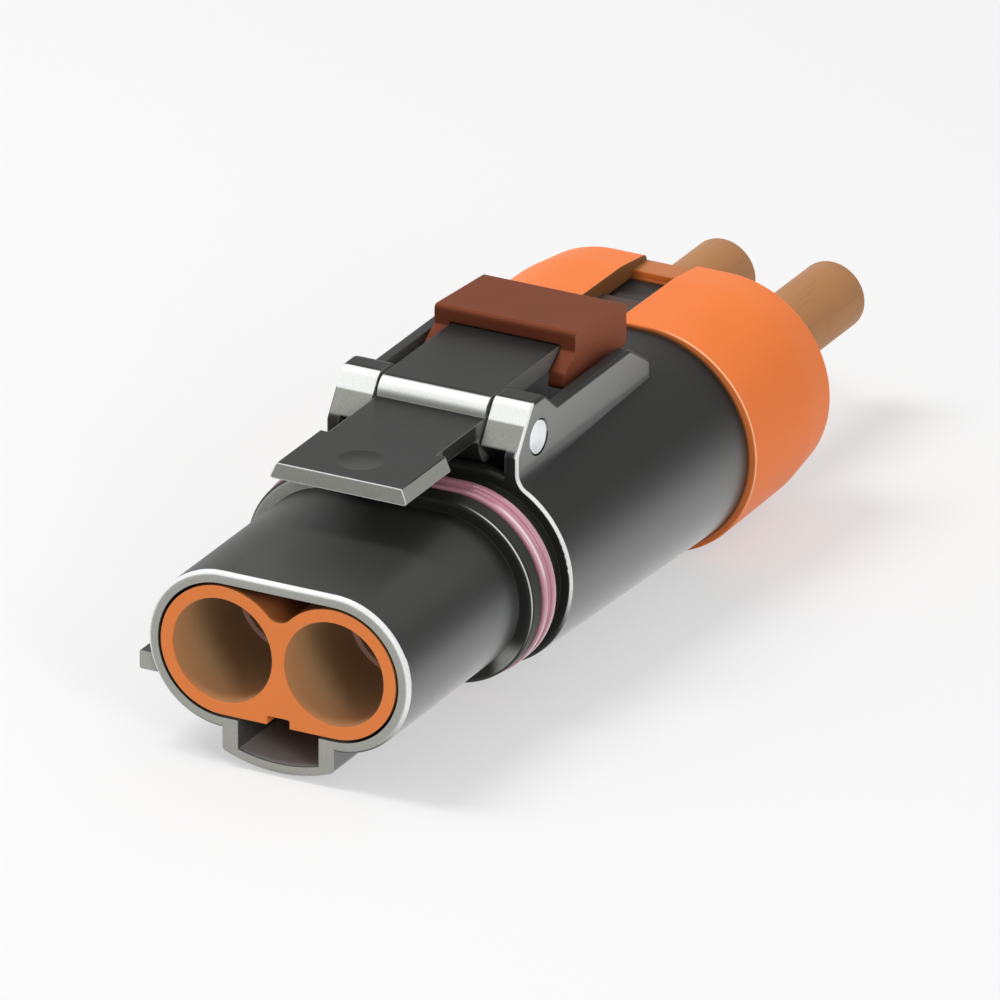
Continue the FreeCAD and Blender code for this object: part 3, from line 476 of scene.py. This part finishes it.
# %% Orange plastic
def orange_plastic():
    finish, shader, place = start_finish("orange_plastic")
    _, y, _ = place.xyz()
    soft, wear_and_glint, open_air = corners(place)
    cloud = lumps(place, 12.0)
    grain = lumps(place, 0.3, 3.0)
    colour = layered(
        mixed(cloud, rgba(0.7, 0.19, 0.04), rgba(0.8, 0.225, 0.05)),
        (y.step(20.0, 80.0), mixed(cloud, rgba(0.84, 0.185, 0.03), rgba(0.92, 0.225, 0.042))),
        # Painted shade where little open air reaches; below it, corners painted paler as wear and painted
        # highlight.
        ((1 - open_air).step(0.25, 0.9), rgba(0.2, 0.07, 0.02)),
        (wear_and_glint * 0.35, rgba(1.0, 0.42, 0.2)),
        *cap_light_and_shade(place),
        *cell_shade_and_reflection(place, cloud),
    )
    feed(shader, "Base Color", colour)
    feed(shader, "Roughness", 0.45 + cloud * 0.08 + grain * 0.05)
    feed_bump(shader, grain, 0.02, strength=0.15, soft=soft)
    shader.inputs["Specular IOR Level"].default_value = 0.25
    return finish


# %% [markdown]
# The position lock is red-brown, so that a fitter sees at a glance whether it is pushed home. It is matt.
# Light and shade are painted into its colour: paler on the side towards the light, and darker on
# its front and where the light doesn't reach.


# %% Red-brown plastic
def red_plastic():
    finish, shader, place = start_finish("red_plastic")
    right, forward, _ = facing(place)
    soft, wear_and_glint, open_air = corners(place)
    cloud = lumps(place, 5.0)
    grain = lumps(place, 0.3, 3.0)
    colour = layered(
        mixed(cloud, rgba(0.15, 0.033, 0.01), rgba(0.2, 0.048, 0.014)),
        # Painted light on the right side, painted shade in hollows and on the front, corners painted as wear
        # and glint.
        (right.step(0.6, 0.9) * 0.6, rgba(0.34, 0.11, 0.06)),
        ((1 - open_air).step(0.2, 0.8) * 0.8, rgba(0.05, 0.014, 0.012)),
        (forward.step(0.5, 0.8) * 0.6, rgba(0.085, 0.026, 0.017)),
        (wear_and_glint * 0.35, rgba(0.5, 0.16, 0.09)),
    )
    feed(shader, "Base Color", colour)
    feed(shader, "Roughness", 0.42 + cloud * 0.1)
    feed_bump(shader, grain, 0.02, soft=soft)
    shader.inputs["Specular IOR Level"].default_value = 0.06
    return finish


# %% [markdown]
# The seals are oiled silicone: soft pink rubber with a wet shine, dulled where dust sticks to it. A clear
# coat gives the shine. A pale streak at the upper right of the ring seal's front lip is a painted highlight.

# %% Pink silicone
SEAL_LOW, SEAL_HIGH = box_in_mm("interface_seal")
STREAK_FROM = 0.35
STREAK_TO = 0.85


def pink_silicone():
    finish, shader, place = start_finish("pink_silicone")
    _, y, _ = place.xyz()
    right, _, up = facing(place)
    cloud = lumps(place, 4.0)
    dust = lumps(place, 0.5, 4.0).step(0.62, 0.75)
    # Painted highlight: a pale streak along the front lip at the upper right.
    lip_highlight = y.band(SEAL_LOW.y + STREAK_FROM, SEAL_LOW.y + STREAK_TO, 0.25)
    lip_highlight = lip_highlight * right.step(0.35, 0.6) * up.step(0.12, 0.35)
    colour = layered(
        mixed(cloud, rgba(0.46, 0.19, 0.26), rgba(0.56, 0.25, 0.32)),
        (dust * 0.3, rgba(0.75, 0.6, 0.62)),
        (lip_highlight * 0.85, rgba(0.95, 0.8, 0.83)),
    )
    feed(shader, "Base Color", colour)
    feed(shader, "Roughness", 0.28 + dust * 0.4)
    feed(shader, "Coat Weight", 0.9 - dust * 0.7)
    feed_bump(shader, cloud, 0.03)
    shader.inputs["Coat Roughness"].default_value = 0.15
    return finish


# %% [markdown]
# The insulation under the sheath, and the lock behind the contacts, are undyed plastic: a cloudy cream. Two
# close tones and a slightly cloudy roughness are enough for it.


# %% Pale plastic
def pale_plastic():
    finish, shader, place = start_finish("pale_plastic")
    cloud = lumps(place, 4.0)
    feed(shader, "Base Color", mixed(cloud, rgba(0.68, 0.64, 0.56), rgba(0.78, 0.74, 0.67)))
    feed(shader, "Roughness", 0.45 + cloud * 0.12)
    return finish


# %% [markdown]
# The cable's sheath is drawn through a die, which leaves faint lines along it. Noise that is stretched along
# Y makes them, in the colour and in the bump.

# %% Cable sheath
DRAWN_ALONG_Y = (1.0, 0.06, 1.0)


def cable_sheath():
    finish, shader, place = start_finish("cable_sheath")
    cloud = lumps(place, 6.0)
    grain = lumps(place, 0.35, 4.0)
    drawn = lumps(place.make("Mapping", None, {"Vector": place, "Scale": DRAWN_ALONG_Y}), 0.7, 3.0)
    colour = layered(
        mixed(cloud, rgba(0.36, 0.16, 0.045), rgba(0.46, 0.2, 0.065)),
        (drawn.step(0.55, 0.75) * 0.35, rgba(0.25, 0.11, 0.035)),
    )
    feed(shader, "Base Color", colour)
    feed(shader, "Roughness", 0.5 + grain * 0.15)
    feed_bump(shader, drawn * 0.6 + grain * 0.4, 0.04, strength=0.3)
    return finish


# %% [markdown]
# The metals share one recipe: full metallic, dull patches of tarnish, and fine scratches that run
# lengthwise, as on rod and wire that was drawn through a die. The pin lies across the plug and the copper
# along it, so the scratch noise is stretched along X on steel and along Y on the others.

# %% Metals
METALS = {
    "steel": (rgba(0.92, 0.94, 0.96), rgba(0.78, 0.8, 0.82), 0.2, (0.1, 1.0, 1.0)),
    "tinned_copper": (rgba(0.72, 0.7, 0.66), rgba(0.52, 0.5, 0.46), 0.35, (1.0, 0.15, 1.0)),
    "silvered_copper": (rgba(0.82, 0.66, 0.64), rgba(0.6, 0.42, 0.42), 0.3, (1.0, 0.15, 1.0)),
    "bare_copper": (rgba(0.8, 0.4, 0.24), rgba(0.5, 0.22, 0.13), 0.3, (1.0, 0.1, 1.0)),
}


def metal(name, clean, tarnished, rough, stretch):
    finish, shader, place = start_finish(name)
    cloud = lumps(place, 2.5, 3.0)
    scratches = lumps(place.make("Mapping", None, {"Vector": place, "Scale": stretch}), 0.12, 3.0)
    feed(shader, "Base Color", mixed(cloud.step(0.35, 0.7), clean, tarnished))
    feed(shader, "Roughness", rough + cloud * 0.12 + scratches * 0.08)
    feed_bump(shader, scratches, 0.01)
    shader.inputs["Metallic"].default_value = 1.0
    return finish


# %% [markdown]
# The screen is a braid of hair-thin tinned wires. Modelling each wire would take thousands of faces for what
# shows as a thin ring. Two sets of waves run round each cable's axis instead, one each way, and their
# product is the weave. On the cut the same waves show the ends of the wires with dark gaps between.

# %% Woven screen
WIRES_ROUND = 36
LAY_PER_MM = 2.2


def woven_screen():
    finish, shader, place = start_finish("woven_screen")
    x, y, z = place.xyz()
    around = z.calc("ARCTAN2", z, abs(x) - CELL_OFFSET) * WIRES_ROUND
    one_way = y.calc("SINE", around + y * LAY_PER_MM)
    other_way = y.calc("SINE", around - y * LAY_PER_MM)
    crown = one_way * other_way
    shine = crown.step(-0.1, 0.5)
    feed(shader, "Base Color", mixed(shine, rgba(0.09, 0.085, 0.08), rgba(0.7, 0.68, 0.64)))
    feed(shader, "Roughness", 0.5 - shine * 0.15)
    feed(shader, "Metallic", 0.4 + shine * 0.6)
    feed_bump(shader, crown * 0.5 + 0.5, 0.1, strength=0.6)
    return finish


# %% [markdown]
# The record names a material slot for each CAD node, and the finish of that name goes on it. The braids are
# the exception: their slot is tinned copper, but they are woven.

# %% Every CAD node gets its finish
finishes = {
    "dark_plastic": dark_plastic(),
    "orange_plastic": orange_plastic(),
    "red_plastic": red_plastic(),
    "pale_plastic": pale_plastic(),
    "pink_silicone": pink_silicone(),
    "cable_sheath": cable_sheath(),
}
for name, look in METALS.items():
    finishes[name] = metal(name, *look)
woven = woven_screen()
for part in frame["record"]["subparts"]:
    is_screen = part["node"].startswith("braid")
    materials = nodes[part["node"]].data.materials
    materials.clear()
    materials.append(woven if is_screen else finishes[part["material_slot"]])
print(len(finishes) + 1, "finishes")

# %% [markdown]
# Each new piece is modelled as by hand: a primitive is opened in edit mode, shaped with operators on faces
# that the code picks by their place, and closed again. These helpers do what every piece needs. An operator
# acts on all that is selected, so everything is deselected before a primitive is added.


# %% Modelling helpers
def deselect_all():
    bpy.ops.object.select_all(action="DESELECT")


def start_piece(name):
    """Names the new primitive and opens it in edit mode with everything selected."""
    piece = bpy.context.object
    piece.name = name
    bpy.ops.object.mode_set(mode="EDIT")
    bpy.ops.mesh.select_all(action="SELECT")
    return piece


def pick(piece, wanted):
    """Selects just the faces for which wanted(middle in millimetres, normal) is true."""
    bpy.ops.mesh.select_mode(type="FACE")
    bpy.ops.mesh.select_all(action="DESELECT")
    mesh = bmesh.from_edit_mesh(piece.data)
    place = piece.matrix_world
    for face in mesh.faces:
        if wanted(place @ face.calc_center_median() / MM, place.to_3x3() @ face.normal):
            face.select_set(True)
    bmesh.update_edit_mesh(piece.data)


def carry_along(move, turn=0.0, axis="Y", centre=(0, 0, 0), squeeze=(1, 1, 1)):
    """Extrudes the selected faces by a move in millimetres, then turns and squeezes them about a centre."""
    bpy.ops.mesh.extrude_region_move(TRANSFORM_OT_translate={"value": Vector(move) * MM})
    if turn:
        bpy.ops.transform.rotate(value=turn, orient_axis=axis, center_override=centre)
    bpy.ops.transform.resize(value=squeeze, center_override=centre)


def turn_faces_outwards():
    bpy.ops.mesh.select_all(action="SELECT")
    bpy.ops.mesh.normals_make_consistent(inside=False)


# %% [markdown]
# A finished piece has rounded corners, its place in its mesh, one finish and a body that it rides on, and
# the CAD node that it replaces is hidden.


# %% Finishing a piece
def round_corners(piece, width, steps, angle=40.0):
    """Closes edit mode, rounds the corners sharper than the angle and shades the rest smoothly."""
    bpy.ops.object.mode_set(mode="OBJECT")
    bevel = piece.modifiers.new("rounded", "BEVEL")
    bevel.width = width * MM
    bevel.segments = steps
    bevel.limit_method = "ANGLE"
    bevel.angle_limit = math.radians(angle)
    bpy.ops.object.modifier_apply(modifier=bevel.name)
    bpy.ops.object.shade_smooth_by_angle(angle=math.radians(angle))


def end_piece(piece, slot, replaced):
    """Puts the piece's place into its mesh, gives it its finish and its body, and hides the CAD node it
    replaces.
    """
    bpy.ops.object.transform_apply(location=True, rotation=True, scale=True)
    piece.data.materials.clear()
    piece.data.materials.append(finishes[slot])
    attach(piece, "housing")
    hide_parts(replaced)
    print(piece.name, len(piece.data.polygons), "faces")


# %% [markdown]
# The cable tails are soft, so the CAD tubes only hold their place. Each sheath, and the pale insulation
# round the copper inside it, is drawn here as a ring that is extruded along the cable in short lengths.
# Every station is squeezed a little, since no extruded tube is truly round, and the cut end gets a small
# rounded lip. A curve with a round bevel would be quicker, but its wall would have no thickness at the cut.

# %% Cable sheaths and insulation
SHEATH_RADIUS = 4.8
SHEATH_BORE = 4.05
SHEATH_LIP = 0.22
INSULATION_RADIUS = 3.65
INSULATION_LIP = 0.12
CONDUCTOR_RADIUS = 2.8
ROUND_POINTS = 72
STATIONS = 10
SWELL = 0.0025
SWELL_CHANGE = 2.3
FACING_Y = (math.pi / 2, 0, 0)


def tube(name, side, node, radius, bore, lip, slot):
    """A slightly uneven tube on one cable's axis, from end to end of the CAD node that it stands for."""
    x = SIDES[side] * CELL_OFFSET * MM
    low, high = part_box(node + side)
    deselect_all()
    bpy.ops.mesh.primitive_circle_add(
        vertices=ROUND_POINTS, radius=radius * MM, fill_type="NGON",
        location=(x, low.y, 0), rotation=FACING_Y,
    )
    piece = start_piece(name + side)
    bpy.ops.mesh.inset(thickness=(radius - bore) * MM)
    bpy.ops.mesh.delete(type="FACE")
    bpy.ops.mesh.select_all(action="SELECT")
    length = (high.y - low.y) / MM / STATIONS
    for station in range(STATIONS):
        swell = 1 + SWELL * math.sin(SWELL_CHANGE * station + SIDES[side])
        carry_along((0, length, 0), centre=(x, 0, 0), squeeze=(swell, 1, 1 / swell))
    turn_faces_outwards()
    round_corners(piece, lip, 3)
    end_piece(piece, slot, node + side)


insulation = (INSULATION_RADIUS, CONDUCTOR_RADIUS, INSULATION_LIP, "pale_plastic")
for side in SIDES:
    tube("sheath_", side, "jacket_", SHEATH_RADIUS, SHEATH_BORE, SHEATH_LIP, "cable_sheath")
    tube("core_insulation_", side, "insulation_", *insulation)

# %% [markdown]
# The conductor is a rope of copper wires laid in rings: 1, 6, 12, 18 and 24 of them. All the wires start as
# small circles in one mesh and are extruded together, with a turn at each station, so they lie in a long
# twist as in the real cable. Each new circle is added inside edit mode, so it joins the same mesh.

# %% Stranded conductors
WIRE_RINGS = 4
WIRE_SIDES = 10
WIRE_STATIONS = 19
WIRE_ROUNDING = 0.05
TWIST = math.radians(18.0)
CONDUCTOR_LOW, CONDUCTOR_HIGH = box_in_mm("conductor_right")


def wire_places(x, wire_radius):
    """The middles of the wires across one cable: one at the centre, and six more in each ring outwards."""
    places = [(x, 0.0)]
    for ring in range(1, WIRE_RINGS + 1):
        for i in range(6 * ring):
            angle = 2 * math.pi * i / (6 * ring)
            out = 2 * ring * wire_radius
            places.append((x + out * math.cos(angle), out * math.sin(angle)))
    return places


def conductor(side):
    x = SIDES[side] * CELL_OFFSET
    wire_radius = CONDUCTOR_RADIUS / (2 * WIRE_RINGS + 1)
    deselect_all()
    for i, (wire_x, wire_z) in enumerate(wire_places(x, wire_radius)):
        bpy.ops.mesh.primitive_circle_add(
            vertices=WIRE_SIDES, radius=wire_radius * MM, fill_type="NGON",
            location=(wire_x * MM, CONDUCTOR_LOW.y * MM, wire_z * MM), rotation=FACING_Y,
        )
        if i == 0:
            piece = start_piece("strands_" + side)
    bpy.ops.mesh.select_all(action="SELECT")
    length = (CONDUCTOR_HIGH.y - CONDUCTOR_LOW.y) / WIRE_STATIONS
    for station in range(WIRE_STATIONS):
        carry_along((0, length, 0), turn=TWIST, centre=(x * MM, 0, 0))
    turn_faces_outwards()
    round_corners(piece, WIRE_ROUNDING, 2, angle=60.0)
    end_piece(piece, "bare_copper", "conductor_" + side)


for side in SIDES:
    conductor(side)

# %% [markdown]
# The coil spring stands between the well's floor and the lever's rear arm. It is one small circle carried
# round its axis in short turns that climb a little each. The first and the last turn lie almost closed, as a
# spring maker winds them, so that the coil stands straight. A Screw modifier would give the same pitch all
# the way.

# %% Latch spring
COIL_LOW, COIL_HIGH = box_in_mm("latch_spring")
COIL_WIRE_RADIUS = 0.3
COIL_WIRE_SIDES = 10
COIL_TURNS = 5
COIL_STEPS_A_TURN = 16
COIL_END_ROUNDING = 0.08
CLOSED_PITCH = 0.63

coil_centre = (0, (COIL_LOW.y + COIL_HIGH.y) / 2, 0)
coil_radius = (COIL_HIGH.y - COIL_LOW.y) / 2 - COIL_WIRE_RADIUS
coil_height = COIL_HIGH.z - COIL_LOW.z
open_pitch = (coil_height - 2 * COIL_WIRE_RADIUS - 2 * CLOSED_PITCH) / (COIL_TURNS - 2)
deselect_all()
bpy.ops.mesh.primitive_circle_add(
    vertices=COIL_WIRE_SIDES, radius=COIL_WIRE_RADIUS * MM, fill_type="NGON", rotation=FACING_Y,
    location=Vector((coil_radius, coil_centre[1], COIL_LOW.z + COIL_WIRE_RADIUS)) * MM,
)
coil = start_piece("latch_coil")
turn = 2 * math.pi / COIL_STEPS_A_TURN
for step in range(COIL_TURNS * COIL_STEPS_A_TURN):
    at_an_end = step < COIL_STEPS_A_TURN or step >= (COIL_TURNS - 1) * COIL_STEPS_A_TURN
    climb = (CLOSED_PITCH if at_an_end else open_pitch) / COIL_STEPS_A_TURN
    carry_along((0, 0, climb), turn=turn, axis="Z", centre=Vector(coil_centre) * MM)
turn_faces_outwards()
round_corners(coil, COIL_END_ROUNDING, 2, angle=60.0)
end_piece(coil, "steel", "latch_spring")
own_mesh(coil)

# %% [markdown]
# The ring seal is silicone. Its section is drawn as one small rectangle on the top flat, spun half a turn
# round each end of the slot and extruded along the flats, the way a die would carry it. The walls that are
# left inside, between the lengths, are taken out.

# %% Ring seal: a section carried round the slot
SEAL_OUTER_RADIUS = SEAL_HIGH.z
SEAL_INNER_RADIUS = 11.7
SPIN_STEPS = 40
SAME_PLACE = 0.01

seal_width = SEAL_HIGH.y - SEAL_LOW.y
seal_middle = (SEAL_HIGH.y + SEAL_LOW.y) / 2
seal_height = SEAL_OUTER_RADIUS - SEAL_INNER_RADIUS
deselect_all()
bpy.ops.mesh.primitive_plane_add(
    size=1.0, rotation=(0, math.pi / 2, 0),
    location=(CELL_OFFSET * MM, seal_middle * MM, (SEAL_OUTER_RADIUS + SEAL_INNER_RADIUS) / 2 * MM),
)
seal = start_piece("ring_seal")
bpy.ops.transform.resize(value=(1, seal_width * MM, seal_height * MM))
for end in (1, -1):
    end_centre = (end * CELL_OFFSET * MM, 0, 0)
    along_the_flat = (-end * 2 * CELL_OFFSET * MM, 0, 0)
    bpy.ops.mesh.spin(steps=SPIN_STEPS, angle=math.pi, center=end_centre, axis=(0, -1, 0))
    bpy.ops.mesh.extrude_region_move(TRANSFORM_OT_translate={"value": along_the_flat})
bpy.ops.mesh.select_all(action="SELECT")
bpy.ops.mesh.remove_doubles(threshold=SAME_PLACE * MM)
pick(seal, lambda middle, normal: abs(normal.x) > 0.99 and abs(middle.z) > CELL_OFFSET)
bpy.ops.mesh.delete(type="ONLY_FACE")
turn_faces_outwards()
print("seal section", round(seal_width, 2), "by", round(seal_height, 2), "mm")

# %% [markdown]
# Two cuts divide the ring's outer band in three, and the middle third is pushed in. That leaves two lips,
# which seal twice and bend more easily than one thick ring.

# %% Ring seal: the groove between its lips
SEAL_GROOVE = 0.45
SEAL_ROUNDING = 0.3

for third in (1, 2):
    bpy.ops.mesh.select_all(action="SELECT")
    cut_y = SEAL_LOW.y + seal_width * third / 3
    bpy.ops.mesh.bisect(plane_co=(0, cut_y * MM, 0), plane_no=(0, 1, 0))


def middle_of_outer_band(middle, normal):
    centre = CELL_OFFSET if middle.x > 0 else -CELL_OFFSET
    outward = Vector((middle.x - centre if abs(middle.x) > CELL_OFFSET else 0.0, 0.0, middle.z))
    return abs(middle.y - seal_middle) < seal_width / 6 and outward.dot(normal) > 1.0


pick(seal, middle_of_outer_band)
print("seal groove faces", sum(face.select for face in bmesh.from_edit_mesh(seal.data).faces))
bpy.ops.mesh.extrude_region_shrink_fatten(TRANSFORM_OT_shrink_fatten={"value": -SEAL_GROOVE * MM})
round_corners(seal, SEAL_ROUNDING, 3)
end_piece(seal, "pink_silicone", "interface_seal")

# %% [markdown]
# The plug lies on a plain white table in a white room. Brighter lamps would whiten the table too, but they
# would bleach the orange. So Light Path makes the room white to the camera and in reflections, while the
# light that it gives is lower.

# %% Room
ROOM_LIGHT = 0.5
WHITE = rgba(1.0, 1.0, 1.0)

world = bpy.data.worlds.new("room")
world.use_nodes = True
bpy.context.scene.world = world
background = world.node_tree.nodes["Background"]
path = Flow(world.node_tree).make("LightPath")
reflected = path.also("Is Glossy Ray") + path.also("Is Transmission Ray")
seen = (path.also("Is Camera Ray") + reflected).step(0.0, 1.0)
feed(background, "Strength", ROOM_LIGHT + seen * (1.0 - ROOM_LIGHT))
background.inputs["Color"].default_value = WHITE
print("room light", ROOM_LIGHT)

# %% [markdown]
# The table is matt white and lies just under the plug. It adds a glow that only the camera and the
# reflections see, which lifts its own colour to white and keeps the soft shadow.

# %% Table
TABLE_SIZE = 8.0
TABLE_GLOW = 0.5
UNDER_THE_PLUG = 0.1

deselect_all()
table_z = cad_box[0][2] - UNDER_THE_PLUG * MM
bpy.ops.mesh.primitive_plane_add(size=TABLE_SIZE, location=(0, 0, table_z))
table = bpy.context.object
table.name = "table"
bpy.ops.object.transform_apply(location=True)
white = bpy.data.materials.new("table_white")
white.use_nodes = True
tree = white.node_tree
shader = tree.nodes["Principled BSDF"]
shader.inputs["Base Color"].default_value = rgba(0.85, 0.85, 0.85)
shader.inputs["Roughness"].default_value = 0.9
shader.inputs["Specular IOR Level"].default_value = 0.1
glow = Flow(tree).make("Emission", None, {"Color": WHITE, "Strength": 1.0})
path = glow.make("LightPath")
reflected = path.also("Is Glossy Ray") + path.also("Is Transmission Ray")
glowing = path.also("Is Camera Ray") * TABLE_GLOW + reflected.step(0.0, 1.0)
surface = glow.make("MixShader", None, {0: glowing, 1: Flow(tree, shader.outputs[0]), 2: glow})
tree.links.new(surface.socket, tree.nodes["Material Output"].inputs["Surface"])
table.data.materials.append(white)
print("table at z", round(table_z / MM, 2), "mm")

# %% [markdown]
# Two softboxes light the plug: a long one overhead, whose reflection runs along the latch's barrel beside
# the painted highlight there, and a small one at the right front, which catches the rounded rims beside
# their painted highlights. Both are large for their distance, so the shadow stays soft.

# %% Lamps
LAMP_DISTANCE = 0.8


def softbox(name, direction, width, depth, power):
    """A soft lamp that faces the middle of the plug from the given direction."""
    data = bpy.data.lights.new(name, "AREA")
    data.shape = "RECTANGLE"
    data.size = width
    data.size_y = depth
    data.energy = power
    lamp = bpy.data.objects.new(name, data)
    lamp.visible_camera = False
    aim(lamp, Vector(direction).normalized(), LAMP_DISTANCE)
    print("lamp", name, power, "W")


softbox("overhead", (-0.43, -0.16, 0.89), 0.22, 0.4, 3.6)
softbox("right_front", (0.69, -0.56, 0.42), 0.2, 0.3, 1.6)
